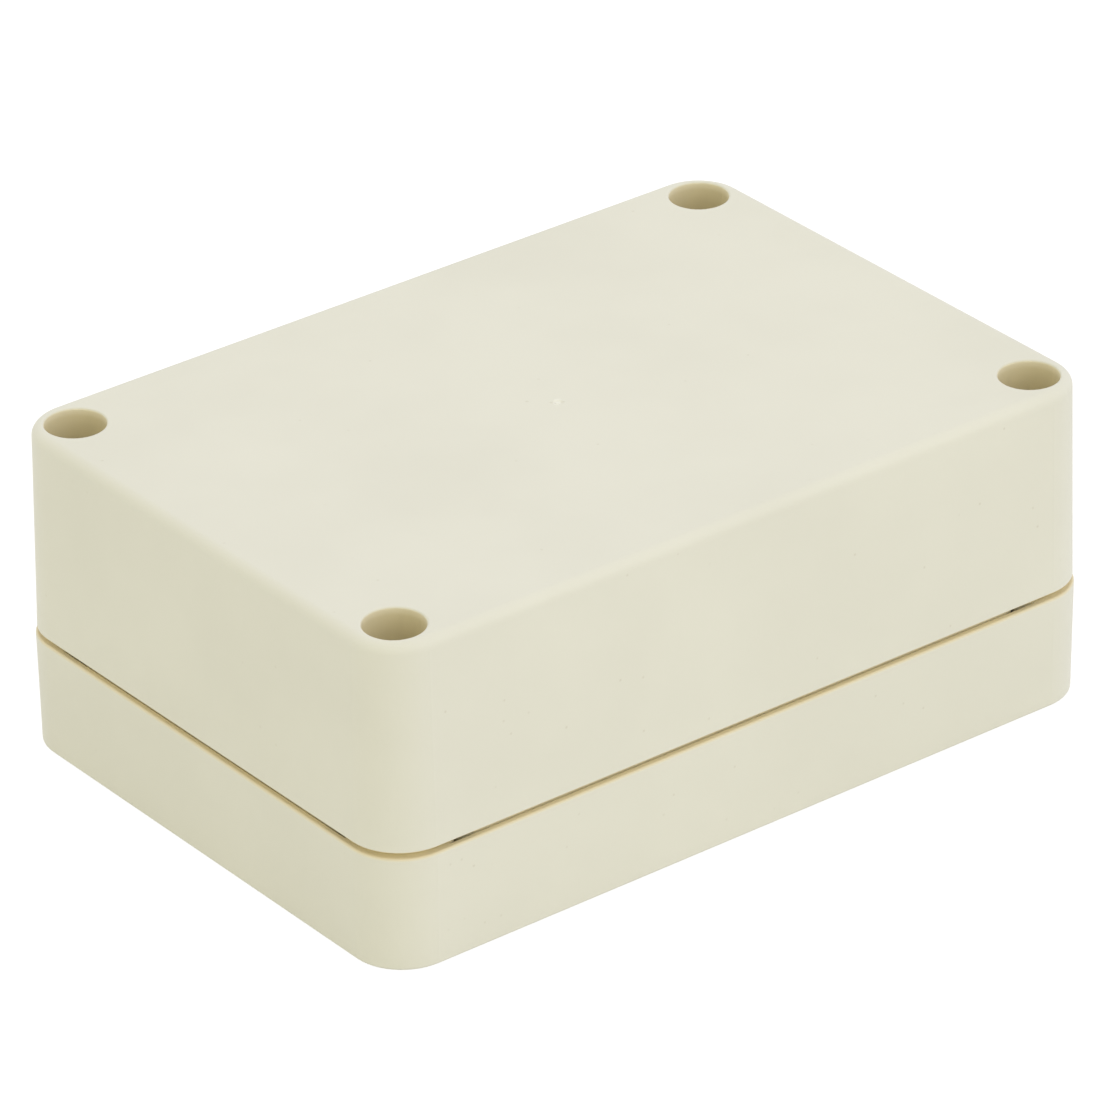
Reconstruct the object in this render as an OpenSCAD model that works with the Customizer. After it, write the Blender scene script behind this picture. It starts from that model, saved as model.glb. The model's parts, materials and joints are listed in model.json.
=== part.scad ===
// Sealed project box: a deep cover on a shallow base, held by four screws that sit low in corner wells.
// Millimetres, +Z up. The origin is the centre of the underside, X runs along the long side.

/* [Outer box] */
// Overall length, measured round the base rim
box_l = 83; // [70:0.5:120]
// Overall width, measured round the base rim
box_w = 57.9; // [50:0.1:80]
// Overall height with the cover on
box_h = 33; // [28:0.25:50]
// Height of the base rim, where the joint line starts
rim_h = 11.6; // [9:0.05:16]
// Open gap that shows between the base rim and the cover
joint_gap = 0.56; // [0.3:0.02:0.8]
// Outer corner radius at the base rim
corner_r = 5.4; // [4.5:0.1:7]
// How far the base rim stands proud of the cover
rim_step = 0.15; // [0:0.01:0.4]
// Slope of the cover's walls, per side over their whole height
cover_draft = 0.38; // [0:0.02:0.6]
// Slope of the base's walls, per side over their whole height
base_draft = 0.15; // [0:0.05:0.5]
// Rounding of the cover's top edge
top_round = 1.05; // [0.4:0.05:2]
// Rounding of the bottom edge
foot_round = 0.3; // [0.1:0.05:1]
// Rounding of the base rim's outer edge
rim_round = 0.25; // [0.1:0.05:0.4]
// Radius of the shallow dimple round the injection point in the middle of the top
gate_r = 0.5; // [0.3:0.05:1.5]

/* [Walls] */
// Thickness of the base floor
floor_t = 2; // [1.5:0.1:3]
// Thickness of the cover's top plate
top_t = 2; // [1.5:0.1:3]

/* [Seal joint] */
// Width of the thin outer lip beside the seal groove
lip_w = 0.6; // [0.5:0.05:1.2]
// Width of the seal groove
groove_w = 1.4; // [1.2:0.1:2]
// Depth of the seal groove below the rim
groove_d = 2.24; // [1.6:0.02:3]
// Width of the inner lip, and how far it stands over the rim
inner_lip_w = 0.8; // [0.6:0.05:1.2]
// Height of the inner lip above the rim
inner_lip_h = 0.26; // [0:0.02:0.4]
// Width of the tongue under the cover
tongue_w = 0.8; // [0.6:0.05:1]
// Height that the pressed gasket keeps between groove floor and tongue
gasket_h = 0.9; // [0.6:0.05:1.5]
// Width of the gasket cord
gasket_w = 1.2; // [1:0.05:1.4]

/* [Corner wells and screws] */
// Distance of each screw from the two outer faces beside it
well_inset = 4.8; // [4.6:0.05:7]
// Radius of the open well above each screw
well_r = 2.9; // [2.6:0.05:3.5]
// Height of the well floor that the screw head bears on
seat_z = 18; // [16:0.5:24]
// Rounding of the well mouth
mouth_round = 0.22; // [0.1:0.02:0.5]
// Radius of the clearance hole below the well floor
clearance_r = 1.8; // [1.7:0.05:2]
// Radius of the land that closes the outer groove beside each screw, level with the rim
land_r = 4.8; // [4:0.05:5.5]
// Radius of the raised ring on each land that the cover's post rests on
seat_ring_r = 3.3; // [2.8:0.05:3.6]
// Radius at which the seal runs round each screw
seal_turn_r = 4.6; // [4.3:0.05:5.5]
// Radius of the screw thread
screw_r = 1.5; // [1.25:0.05:2]
// Radius of the screw head
head_r = 2.6; // [2.3:0.05:2.8]
// Height of the screw head
head_h = 2; // [1.6:0.1:3]
// Length of the screw under its head
screw_l = 14.2; // [12:0.1:20]
// Thickness of the rubber washer under the head
washer_t = 0.8; // [0.5:0.1:1.2]
// Length of the brass insert
insert_l = 5.7; // [4:0.1:8]
// Radius over the insert's knurls
insert_r = 2.15; // [2:0.05:2.6]

/* [Board mounts and guides] */
// Distance between board pillars along X
pillar_dx = 56; // [30:1:60]
// Distance between board pillars along Y
pillar_dy = 34; // [20:1:40]
// Height of the board pillars above the floor
pillar_h = 5; // [3:0.5:7]
// Outer radius of a board pillar
pillar_r = 3; // [2.5:0.1:4]
// Radius of the pilot hole in a board pillar
pilot_r = 1.25; // [1:0.05:1.6]
// Distance between the two card guides on each long wall
guide_dx = 36; // [20:1:50]
// Slot of a card guide
guide_slot = 1.8; // [1.4:0.1:2.2]

/* [Hidden] */
$fn = 96;
cover_z = rim_h + joint_gap;
corner_x = box_l / 2 - corner_r;
corner_y = box_w / 2 - corner_r;
screw_x = box_l / 2 - well_inset;
screw_y = box_w / 2 - well_inset;
groove_z = rim_h - groove_d;
seal_x = box_l / 2 - lip_w - groove_w / 2;
seal_y = box_w / 2 - lip_w - groove_w / 2;
bend_r = 1.8;
bend_in = bend_r - (box_l / 2 - lip_w - groove_w / 2 - screw_x);
bend_run = sqrt(pow(seal_turn_r + bend_r, 2) - pow(bend_in, 2));
head_z = seat_z + washer_t;
tip_z = head_z - screw_l;
insert_top = cover_z - 0.25;
insert_z = insert_top - insert_l;
gasket_z = groove_z + gasket_h;
cavity_top = box_h - top_t;
gate_at = [-0.2, -0.8];
plastic = [0.87, 0.86, 0.79];
seal_black = [0.12, 0.12, 0.12];
brass = [0.78, 0.62, 0.3];
steel = [0.72, 0.72, 0.73];

CORNERS = ["front_left", "front_right", "back_right", "back_left"];

// Where each screw stands.
function screw_at(c) =
  c == "front_left" ? [-screw_x, -screw_y, 0] :
  c == "front_right" ? [screw_x, -screw_y, 0] :
  c == "back_right" ? [screw_x, screw_y, 0] : [-screw_x, screw_y, 0];

// Half section of a sloping wall from (r0, z0) up to (r1, z1), with a true round at each end.
module wall_section(back, r0, z0, f0, r1, z1, f1) {
  a = atan2(r0 - r1, z1 - z0);
  out = [cos(a), sin(a)];
  low = [r0 - f0 * (1 + sin(a)) / cos(a), z0 + f0];
  high = [r0 - (f1 + sin(a) * (z1 - f1 - z0)) / cos(a), z1 - f1];
  polygon([
    [-back, z0], [low.x, z0], low, low + f0 * out,
    high + f1 * out, high, [high.x, z1], [-back, z1]
  ]);
  translate(low) circle(f0);
  translate(high) circle(f1);
}

// The section carried round the box: two straight runs each way and a quarter turn at each corner.
module sloped_box(r0, z0, f0, r1, z1, f1) {
  rotate([90, 0, 90]) linear_extrude(2 * corner_x, center = true) {
    for (m = [0, 1]) mirror([m, 0])
      translate([corner_y, 0]) wall_section(corner_y, r0, z0, f0, r1, z1, f1);
  }
  for (s = [0, 1]) mirror([s, 0, 0]) {
    translate([corner_x, 0, 0]) rotate([90, 0, 0]) linear_extrude(2 * corner_y, center = true)
      wall_section(0, r0, z0, f0, r1, z1, f1);
    for (t = [0, 1]) mirror([0, t, 0])
      translate([corner_x, corner_y, 0]) rotate_extrude(angle = 90)
        wall_section(0, r0, z0, f0, r1, z1, f1);
  }
}

// The box outline drawn in by d, from z0 to z1.
module inset_block(d, z0, z1) {
  h = z1 - z0;
  translate([-corner_x, -box_w / 2 + d, z0]) cube([2 * corner_x, box_w - 2 * d, h]);
  translate([-box_l / 2 + d, -corner_y, z0]) cube([box_l - 2 * d, 2 * corner_y, h]);
  for (x = [-corner_x, corner_x], y = [-corner_y, corner_y])
    translate([x, y, z0]) cylinder(h = h, r = corner_r - d);
}

// The sealed area from z0 to z1, grown by d. Its edge swings inward round each screw.
module seal_block(d, z0, z1) {
  bend_x = screw_x - bend_run;
  bend_y = screw_y - bend_run;
  h = z1 - z0;
  translate([-bend_x, -seal_y - d, z0]) cube([2 * bend_x, 2 * (seal_y + d), h]);
  translate([-seal_x - d, -bend_y, z0]) cube([2 * (seal_x + d), 2 * bend_y, h]);
  for (s = [0, 1], t = [0, 1]) mirror([s, 0, 0]) mirror([0, t, 0]) translate([0, 0, z0]) {
    difference() {
      linear_extrude(h) polygon([
        [bend_x - 1, bend_y - 1], [bend_x - 1, seal_y - bend_r], [bend_x, seal_y - bend_r],
        [screw_x, screw_y], [seal_x - bend_r, bend_y], [seal_x - bend_r, bend_y - 1]
      ]);
      translate([screw_x, screw_y, -1]) cylinder(h = h + 2, r = seal_turn_r - d);
    }
    translate([bend_x, seal_y - bend_r, 0]) cylinder(h = h, r = bend_r + d);
    translate([seal_x - bend_r, bend_y, 0]) cylinder(h = h, r = bend_r + d);
  }
}

// A wall that follows the seal line, from d0 to d1 beside it.
module seal_wall(d0, d1, z0, z1) {
  difference() {
    seal_block(d1, z0, z1);
    seal_block(d0, z0 - 1, z1 + 1);
  }
}

module at_screws() {
  for (c = CORNERS) translate(screw_at(c)) children();
}

// A board pillar with its pilot hole and two thin webs.
module board_pillar() {
  translate([0, 0, floor_t - 0.5]) difference() {
    union() {
      cylinder(h = pillar_h + 0.5, r = pillar_r);
      for (a = [0, 90]) rotate([0, 0, a]) rotate([90, 0, 0])
        linear_extrude(0.9, center = true)
          polygon([[0, 0], [pillar_r + 2.2, 0], [pillar_r + 2.2, 0.9], [0, pillar_h - 0.5]]);
    }
    translate([0, 0, 0.8]) cylinder(h = pillar_h, r = pilot_r);
  }
}

// The base is a tray with the seal groove round its rim, four lands with seat rings and four board pillars.
module base_shell() {
  color(plastic) difference() {
    union() {
      difference() {
        sloped_box(corner_r - base_draft, 0, foot_round, corner_r, rim_h, rim_round);
        difference() {
          inset_block(lip_w, groove_z, rim_h + 1);
          seal_block(-groove_w / 2, 0, box_h);
        }
        seal_block(-groove_w / 2 - inner_lip_w, floor_t, box_h);
      }
      seal_wall(-groove_w / 2 - inner_lip_w, -groove_w / 2, rim_h - 0.5, rim_h + inner_lip_h);
      difference() {
        intersection() {
          at_screws() translate([0, 0, groove_z - 0.5]) cylinder(h = groove_d + 0.5, r = land_r);
          inset_block(lip_w, 0, box_h);
        }
        seal_block(groove_w / 2, 0, box_h);
      }
      at_screws() translate([0, 0, rim_h - 0.5]) cylinder(h = joint_gap + 0.5, r = seat_ring_r);
      for (x = [-1, 1], y = [-1, 1]) translate([x * pillar_dx / 2, y * pillar_dy / 2, 0])
        rotate([0, 0, x > 0 ? (y > 0 ? 180 : 90) : (y > 0 ? 270 : 0)]) board_pillar();
    }
    at_screws() {
      translate([0, 0, insert_z]) cylinder(h = cover_z, r = insert_r - 0.05);
      translate([0, 0, tip_z - 0.8]) cylinder(h = cover_z, r = clearance_r);
      translate([0, 0, cover_z - 0.25]) cylinder(h = 0.5, r1 = insert_r - 0.05, r2 = insert_r + 0.45);
    }
  }
}

// A cutter for one well: the open shaft, its rounded mouth and the clearance hole under its floor.
module well_cut() {
  translate([0, 0, seat_z]) cylinder(h = box_h, r = well_r);
  translate([0, 0, cover_z - 1]) cylinder(h = seat_z, r = clearance_r);
  translate([0, 0, box_h - mouth_round]) rotate_extrude() difference() {
    translate([well_r - 0.5, 0]) square([0.5 + mouth_round, mouth_round + 0.4]);
    translate([well_r + mouth_round, 0]) circle(mouth_round);
  }
}

// A pair of ribs that holds the edge of a card against a long wall.
module card_guide() {
  for (s = [-1, 1]) translate([s * (guide_slot + 1) / 2, 0, 0]) {
    translate([-0.5, 0, 15]) cube([1, 1.8, cavity_top - 14.5]);
    translate([0, 1.8, 15]) cylinder(h = cavity_top - 14.5, r = 0.5);
  }
}

// The mark of the injection point: a dished ring with the stub of the sprue in its middle.
module gate_dimple() {
  rotate_extrude() polygon([
    [0, -0.03], [gate_r * 0.36, -0.04], [gate_r * 0.5, -0.1], [gate_r * 0.7, -0.09],
    [gate_r, 0], [gate_r, 0.5], [0, 0.5]
  ]);
}

module cover_shell() {
  color(plastic) difference() {
    union() {
      difference() {
        sloped_box(corner_r - rim_step, cover_z, 0.08, corner_r - rim_step - cover_draft, box_h, top_round);
        seal_block(-groove_w / 2, cover_z - 1, cavity_top);
      }
      seal_wall(-tongue_w / 2, tongue_w / 2, gasket_z, cover_z + 0.5);
      for (x = [-1, 1], t = [0, 1]) mirror([0, t, 0])
        translate([x * guide_dx / 2, -seal_y + groove_w / 2 - 0.3, 0]) card_guide();
    }
    at_screws() well_cut();
    translate([gate_at.x, gate_at.y, box_h]) gate_dimple();
  }
}

// The gasket lies in the groove and goes round inside all four screws in one piece.
module seal_gasket() {
  color(seal_black) seal_wall(-gasket_w / 2, gasket_w / 2, groove_z, gasket_z);
}

// A brass insert with two knurled bands and a plain waist between them.
module thread_insert(c) {
  waist = insert_r - 0.3;
  color(brass) translate(screw_at(c) + [0, 0, insert_z]) rotate_extrude() polygon([
    [screw_r + 0.05, 0], [insert_r - 0.25, 0], [insert_r, 0.3], [insert_r, insert_l * 0.4],
    [waist, insert_l * 0.46], [waist, insert_l * 0.56], [insert_r, insert_l * 0.62],
    [insert_r, insert_l - 0.2], [insert_r - 0.2, insert_l], [screw_r + 0.35, insert_l],
    [screw_r + 0.05, insert_l - 0.3]
  ]);
}

// A flat rubber ring that grips the screw and keeps it in its well when the cover is off.
module screw_washer(c) {
  edge = 0.15;
  color(seal_black) translate(screw_at(c) + [0, 0, seat_z]) rotate_extrude() polygon([
    [screw_r + 0.06, 0], [head_r - edge, 0], [head_r, edge], [head_r, washer_t - edge],
    [head_r - edge, washer_t], [screw_r + 0.06, washer_t]
  ]);
}

// A cheese-head screw with a crossed recess and a short lead at its tip.
module cover_screw(c) {
  color(steel) translate(screw_at(c) + [0, 0, tip_z]) difference() {
    rotate_extrude() polygon([
      [0, 0], [screw_r - 0.45, 0], [screw_r, 0.5], [screw_r, screw_l], [head_r, screw_l],
      [head_r, screw_l + head_h - 0.5], [head_r - 0.12, screw_l + head_h - 0.22],
      [head_r - 0.45, screw_l + head_h], [0, screw_l + head_h]
    ]);
    translate([0, 0, screw_l + head_h - 1.1]) {
      for (a = [45, 135]) rotate([0, 0, a]) translate([-1.5, -0.3, 0]) cube([3, 0.6, 2]);
      cylinder(h = 1.2, r1 = 0.35, r2 = 0.95);
    }
  }
}

base_shell();
cover_shell();
seal_gasket();
for (c = CORNERS) {
  thread_insert(c);
  screw_washer(c);
  cover_screw(c);
}
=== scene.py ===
# %% [markdown]
# # A sealed project box
# The box is a deep cover on a shallow base, both moulded in cream ABS, with one open screw
# well near each corner. A silicone strip seals the joint between them, and four screws on
# rubber washers reach down through the wells into brass inserts. This lesson dresses the
# measured solids: it sets the view and the light, makes the plastic, and then builds the
# small hardware in finer detail than the solids carry. The first cell loads the solids, and
# the places below come from them.

# %% Load the measured box
import bmesh
import bpy
import json
import math
from mathutils import Matrix, Vector

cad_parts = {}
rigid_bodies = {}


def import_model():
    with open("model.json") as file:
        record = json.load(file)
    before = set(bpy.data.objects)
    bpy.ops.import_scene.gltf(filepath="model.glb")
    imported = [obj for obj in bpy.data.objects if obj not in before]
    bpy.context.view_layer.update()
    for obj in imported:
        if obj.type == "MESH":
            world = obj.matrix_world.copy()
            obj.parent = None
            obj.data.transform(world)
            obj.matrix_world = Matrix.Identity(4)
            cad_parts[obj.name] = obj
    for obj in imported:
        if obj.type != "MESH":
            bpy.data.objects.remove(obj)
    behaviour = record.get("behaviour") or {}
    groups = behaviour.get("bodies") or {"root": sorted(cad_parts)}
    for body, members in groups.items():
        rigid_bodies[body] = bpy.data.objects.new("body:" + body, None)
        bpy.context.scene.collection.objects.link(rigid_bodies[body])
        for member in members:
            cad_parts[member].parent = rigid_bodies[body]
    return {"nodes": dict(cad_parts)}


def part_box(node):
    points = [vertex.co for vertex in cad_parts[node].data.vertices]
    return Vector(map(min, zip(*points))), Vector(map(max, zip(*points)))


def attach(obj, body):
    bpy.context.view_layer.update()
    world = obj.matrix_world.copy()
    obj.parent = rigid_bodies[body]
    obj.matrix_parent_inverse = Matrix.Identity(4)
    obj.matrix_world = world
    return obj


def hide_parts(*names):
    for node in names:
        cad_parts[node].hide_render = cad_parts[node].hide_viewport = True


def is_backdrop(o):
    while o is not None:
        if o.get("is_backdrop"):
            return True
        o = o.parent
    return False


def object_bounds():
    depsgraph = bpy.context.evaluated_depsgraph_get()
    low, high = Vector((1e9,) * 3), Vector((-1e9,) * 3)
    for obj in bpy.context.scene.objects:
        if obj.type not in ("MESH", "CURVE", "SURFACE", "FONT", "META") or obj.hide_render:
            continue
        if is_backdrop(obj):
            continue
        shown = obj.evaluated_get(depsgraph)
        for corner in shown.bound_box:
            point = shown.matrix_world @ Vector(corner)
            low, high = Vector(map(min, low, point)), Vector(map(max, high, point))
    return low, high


for starter in list(bpy.data.objects):
    bpy.data.objects.remove(starter)
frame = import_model()
cad_low, cad_high = (Vector(corner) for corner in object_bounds())
nodes = frame["nodes"]
MM = 0.001
print("solids:", len(nodes), "size in mm:", [round(v / MM, 2) for v in cad_high - cad_low])

# %% [markdown]
# ## The view
# A long lens from well back keeps the box's upright edges nearly parallel. The camera looks
# at the middle of the box from the front left corner, a little under thirty degrees up. A
# Track To constraint could aim it, but its three axes are worked out here, because that
# gives the slight lean to one side as well.

# %% Camera
def place_camera(target, azimuth, elevation, roll, distance, lens):
    """A camera at that many degrees round and up from the target, looking at it."""
    turn, lift, lean = (math.radians(a) for a in (azimuth, elevation, roll))
    level = math.cos(lift)
    back = Vector((math.sin(turn) * level, -math.cos(turn) * level, math.sin(lift)))
    right = Vector((math.cos(turn), math.sin(turn), 0.0))
    up = back.cross(right)
    across = right * math.cos(lean) + up * math.sin(lean)
    upward = up * math.cos(lean) - right * math.sin(lean)
    data = bpy.data.cameras.new("view_camera")
    data.sensor_width = 36.0
    data.lens = lens
    data.clip_start = 0.01
    data.clip_end = 20.0
    camera = bpy.data.objects.new("view_camera", data)
    bpy.context.scene.collection.objects.link(camera)
    axes = Matrix((across, upward, back)).transposed().to_4x4()
    camera.matrix_world = Matrix.Translation(Vector(target) + back * distance) @ axes
    bpy.context.scene.camera = camera
    return camera


camera = place_camera(
    target=(0.00024, 0.00125, 0.0165),
    azimuth=-37.689,
    elevation=28.879,
    roll=-0.864,
    distance=0.7443,
    lens=262.12,
)
print("camera stands", round(camera.location.length, 3), "m from the box")

# %% [markdown]
# ## Node helpers
# Every finish here is built from nodes, and so is the small hardware. Wiring nodes by hand in
# the editor is quick but can't be rerun, and wiring them line by line in a script is long.
# Five short helpers keep it readable: one makes a node and fills its sockets, one links two
# sockets, one does a step of arithmetic, one remaps a number and one mixes two colours.

# %% Make and join nodes
def add(tree, kind, settings=None, **sockets):
    """A new node with its settings and its named input sockets filled in."""
    made = tree.nodes.new(kind)
    for name, value in (settings or {}).items():
        setattr(made, name, value)
    for name, value in sockets.items():
        made.inputs[name.replace("_", " ")].default_value = value
    return made


def join(tree, source, target):
    """Feeds an input socket from an output socket or with a plain value."""
    if isinstance(source, (int, float, tuple)):
        target.default_value = source
    else:
        tree.links.new(source, target)


def combine(tree, operation, first, second=0.0):
    """One step of arithmetic on sockets or numbers."""
    made = add(tree, "ShaderNodeMath", {"operation": operation})
    join(tree, first, made.inputs[0])
    join(tree, second, made.inputs[1])
    return made.outputs[0]

# %% Remap and mix
COLOUR_A, COLOUR_B, COLOUR_OUT = 6, 7, 2  # the Mix node's colour sockets


def ramp(tree, source, low, high, at_low=0.0, at_high=1.0):
    """A number remapped smoothly from low..high to at_low..at_high, and held there."""
    made = add(tree, "ShaderNodeMapRange", {"interpolation_type": "SMOOTHSTEP"})
    ends = (low, high, at_low, at_high)
    for label, value in zip(("From Min", "From Max", "To Min", "To Max"), ends):
        made.inputs[label].default_value = value
    join(tree, source, made.inputs["Value"])
    return made.outputs["Result"]


def blend_colour(tree, factor, first, second):
    """A colour mixed from first to second, each a socket or a fixed colour."""
    made = add(tree, "ShaderNodeMix", {"data_type": "RGBA"})
    join(tree, factor, made.inputs[0])
    join(tree, first, made.inputs[COLOUR_A])
    join(tree, second, made.inputs[COLOUR_B])
    return made.outputs[COLOUR_OUT]

# %% [markdown]
# ## Floor and light
# The box stands on a white table in a white light tent: the sky gives nearly all the light,
# evenly, and the table throws it back up the walls. One broad lamp in front adds the little
# direction that lets the front wall look brighter than the left one. The tent is slightly
# warmer at the left. A ring of lamps could stand in for the tent, but each would leave its
# own soft edge on the shell. To the camera and to mirror-like metal, the table and the tent
# show as plain white, while the box is lit at a level at which colours look as written.

# %% White ground for the camera
WHITE = (1, 1, 1, 1)


def empty_tree(block):
    """The node tree of a material or a world, switched on and emptied."""
    block.use_nodes = True
    block.node_tree.nodes.clear()
    return block.node_tree


def shown_white(tree, lit, white, out):
    """Shows one shader to the camera and to reflections, and the other to soft light."""
    path = add(tree, "ShaderNodeLightPath").outputs
    seen = combine(tree, "MAXIMUM", path["Is Camera Ray"], path["Is Glossy Ray"])
    seen = combine(tree, "MAXIMUM", seen, path["Is Transmission Ray"])
    choice = add(tree, "ShaderNodeMixShader")
    join(tree, seen, choice.inputs[0])
    join(tree, lit.outputs[0], choice.inputs[1])
    join(tree, white.outputs[0], choice.inputs[2])
    join(tree, choice.outputs[0], out.inputs["Surface"])

# %% Table
TABLE_SIZE = 3.0
TABLE_Z = -0.02 * MM
TABLE_LIT = (0.8, 0.8, 0.78, 1)
TABLE_SEEN = (0.22, 0.22, 0.22, 1)
TABLE_GLOW = 0.9

bpy.ops.mesh.primitive_grid_add(x_subdivisions=4, y_subdivisions=4, size=TABLE_SIZE)
table = bpy.context.object
table.name = "table"
table.location.z = TABLE_Z
white_table = bpy.data.materials.new("white_table")
tree = empty_tree(white_table)
matt = add(tree, "ShaderNodeBsdfDiffuse", Color=TABLE_LIT)
shaded = add(tree, "ShaderNodeBsdfDiffuse", Color=TABLE_SEEN)
glow = add(tree, "ShaderNodeEmission", Color=WHITE, Strength=TABLE_GLOW)
pale = add(tree, "ShaderNodeAddShader")
join(tree, shaded.outputs[0], pale.inputs[0])
join(tree, glow.outputs[0], pale.inputs[1])
shown_white(tree, matt, pale, add(tree, "ShaderNodeOutputMaterial"))
table.data.materials.append(white_table)
table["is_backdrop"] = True
print("table is", TABLE_SIZE, "m wide")

# %% Tent
SKY = 0.917
SKY_WARM = (0.98, 0.957, 0.725, 1)
WARM_SIDE = (-0.90, -0.40, 0.0)
WARM_FROM = -0.3

tent = bpy.data.worlds.new("light_tent")
bpy.context.scene.world = tent
tree = empty_tree(tent)
toward = add(tree, "ShaderNodeVectorMath", {"operation": "DOT_PRODUCT"})
join(tree, add(tree, "ShaderNodeTexCoord").outputs["Generated"], toward.inputs[0])
join(tree, WARM_SIDE, toward.inputs[1])
warm = ramp(tree, toward.outputs["Value"], WARM_FROM, 1.0)
sky = add(tree, "ShaderNodeBackground", Strength=SKY)
join(tree, blend_colour(tree, warm, WHITE, SKY_WARM), sky.inputs["Color"])
plain = add(tree, "ShaderNodeBackground", Color=WHITE, Strength=1.0)
shown_white(tree, sky, plain, add(tree, "ShaderNodeOutputWorld"))
bpy.context.scene.view_settings.view_transform = "Standard"
print("sky strength", SKY)

# %% Front lamp
FRONT_W = 7.8


def soft_lamp(name, place, aim, size, power):
    """A square area lamp that faces its aim."""
    data = bpy.data.lights.new(name, "AREA")
    data.shape = "SQUARE"
    data.size = size
    data.energy = power
    lamp = bpy.data.objects.new(name, data)
    bpy.context.scene.collection.objects.link(lamp)
    lamp.location = place
    toward = Vector(aim) - Vector(place)
    lamp.rotation_euler = toward.to_track_quat("-Z", "Y").to_euler()
    return lamp


front_lamp = soft_lamp(
    "front_lamp", place=(0.6, -2.0, 1.3), aim=(0, 0, 0.015), size=1.8, power=FRONT_W
)
print(front_lamp.name, "gives", FRONT_W, "W")

# %% [markdown]
# ## Where the measured solids are
# The finishes and the hardware need a few places: the screw axes, the joint between the
# shells and the outer wall. They could be typed in, but most are read from the boxes of the
# solids, so that they follow them. The rim, the cover's lower edge, the seat in the wells
# and the corner's radius are no side of any box, so these four are given.

# %% Places
CORNERS = ("front_left", "front_right", "back_right", "back_left")
boxes = {name: [Vector(corner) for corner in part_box(name)] for name in nodes}
screw_low, screw_high = boxes["cover_screw_back_right"]
SCREW_X, SCREW_Y = (screw_low.x + screw_high.x) / 2, (screw_low.y + screw_high.y) / 2
TOP_Z = cad_high.z
RIM_Z = 11.6 * MM
JOINT_Z = 12.16 * MM
SEAT_Z = 18.0 * MM
CORNER_R = 5.4 * MM
print("screw axes at mm", round(SCREW_X / MM, 2), round(SCREW_Y / MM, 2))

# %% [markdown]
# ## The moulded plastic
# The shells are plain ABS from a spark-eroded mould: matt, very finely pitted and cream in
# the mass. A single colour with some roughness would pass from afar, but up close moulded
# plastic drifts in tone and carries a few faint specks of burnt resin. So broad noise shifts
# the tone and the dullness, a few cells of a cell pattern hold a speck, and fine noise pits
# the surface. All of it reads object coordinates, so it stays put when the cover moves.

# %% Surface helpers
def new_finish(name):
    """A new material, its tree and its shader."""
    made = bpy.data.materials.new(name)
    made.use_nodes = True
    return made, made.node_tree, made.node_tree.nodes["Principled BSDF"]


def noise(tree, place, scale, detail, rough):
    """Noise from 0 to 1 at a place."""
    made = add(tree, "ShaderNodeTexNoise", Scale=scale, Detail=detail, Roughness=rough)
    join(tree, place, made.inputs["Vector"])
    return made.outputs["Fac"]


def bumped(tree, shader, height, strength, distance):
    """Presses a height into a shader's surface."""
    made = add(tree, "ShaderNodeBump", Strength=strength, Distance=distance)
    join(tree, height, made.inputs["Height"])
    join(tree, made.outputs["Normal"], shader.inputs["Normal"])


def length_of(tree, x, y):
    """The length of a flat vector."""
    pair = add(tree, "ShaderNodeCombineXYZ")
    join(tree, x, pair.inputs[0])
    join(tree, y, pair.inputs[1])
    made = add(tree, "ShaderNodeVectorMath", {"operation": "LENGTH"})
    join(tree, pair.outputs[0], made.inputs[0])
    return made.outputs["Value"]


def folded_place(tree):
    """Object coordinates with all four corners folded onto one: place, |x|, |y| and z."""
    place = add(tree, "ShaderNodeTexCoord").outputs["Object"]
    parts = add(tree, "ShaderNodeSeparateXYZ")
    join(tree, place, parts.inputs[0])
    across = [combine(tree, "ABSOLUTE", parts.outputs[axis]) for axis in range(2)]
    return place, across[0], across[1], parts.outputs[2]

# %% Specked cream
CREAM_LIGHT = (0.810, 0.795, 0.716, 1)
CREAM_DEEP = (0.784, 0.769, 0.692, 1)
SPECK = (0.36, 0.28, 0.17, 1)
CREAM_DRIFT = (0.3, 0.7)
SPECK_CELLS = 420.0  # to the metre
SPECK_SHIFT = (0.013, 0.007, 0.003)  # keeps specks off the mouths of the wells
SPECK_RARE = (0.56, 0.72)  # how bright a cell's random tone must be to hold one
SPECK_SPREAD = (0.0, 0.09)  # from a speck's middle to its faint edge, in cells
SPECK_STRENGTH = 0.22


def specked_cream(tree, place, broad):
    """Cream that drifts between two tones, with sparse faint specks."""
    colour = blend_colour(tree, ramp(tree, broad, *CREAM_DRIFT), CREAM_LIGHT, CREAM_DEEP)
    shifted = add(tree, "ShaderNodeMapping", Location=SPECK_SHIFT)
    join(tree, place, shifted.inputs["Vector"])
    cells = add(tree, "ShaderNodeTexVoronoi", Scale=SPECK_CELLS, Randomness=1.0)
    join(tree, shifted.outputs[0], cells.inputs["Vector"])
    rare = ramp(tree, cells.outputs["Color"], *SPECK_RARE)
    dot = ramp(tree, cells.outputs["Distance"], *SPECK_SPREAD, SPECK_STRENGTH, 0.0)
    return blend_colour(tree, combine(tree, "MULTIPLY", rare, dot), colour, SPECK)

# %% [markdown]
# ## The gate mark
# Where the mould was filled, in the middle of the cover's top, the plastic keeps a pale mark
# with three dark flecks beside it. A painted picture could hold them, but a few soft round
# spots, each a distance from a point, stay clean at any size and need no picture. The pale
# spots are painted lighter than the mark alone: painted light that lifts the shade of the
# gate's small dimple.

# %% Gate mark
# the pale tone is partly painted light: it lifts the shade in the gate's dimple
GATE_PALE_AND_LIGHT = (0.93, 0.925, 0.87, 1)
FLECK_DARK = (0.58, 0.55, 0.44, 1)
# x, y and radius of each spot, in mm
GATE = ((-0.29, -0.92, 0.36), (0.03, -0.50, 0.33))
FLECKS = ((-0.68, -0.45, 0.16), (0.31, -1.06, 0.12), (-2.27, 1.12, 0.16))


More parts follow.
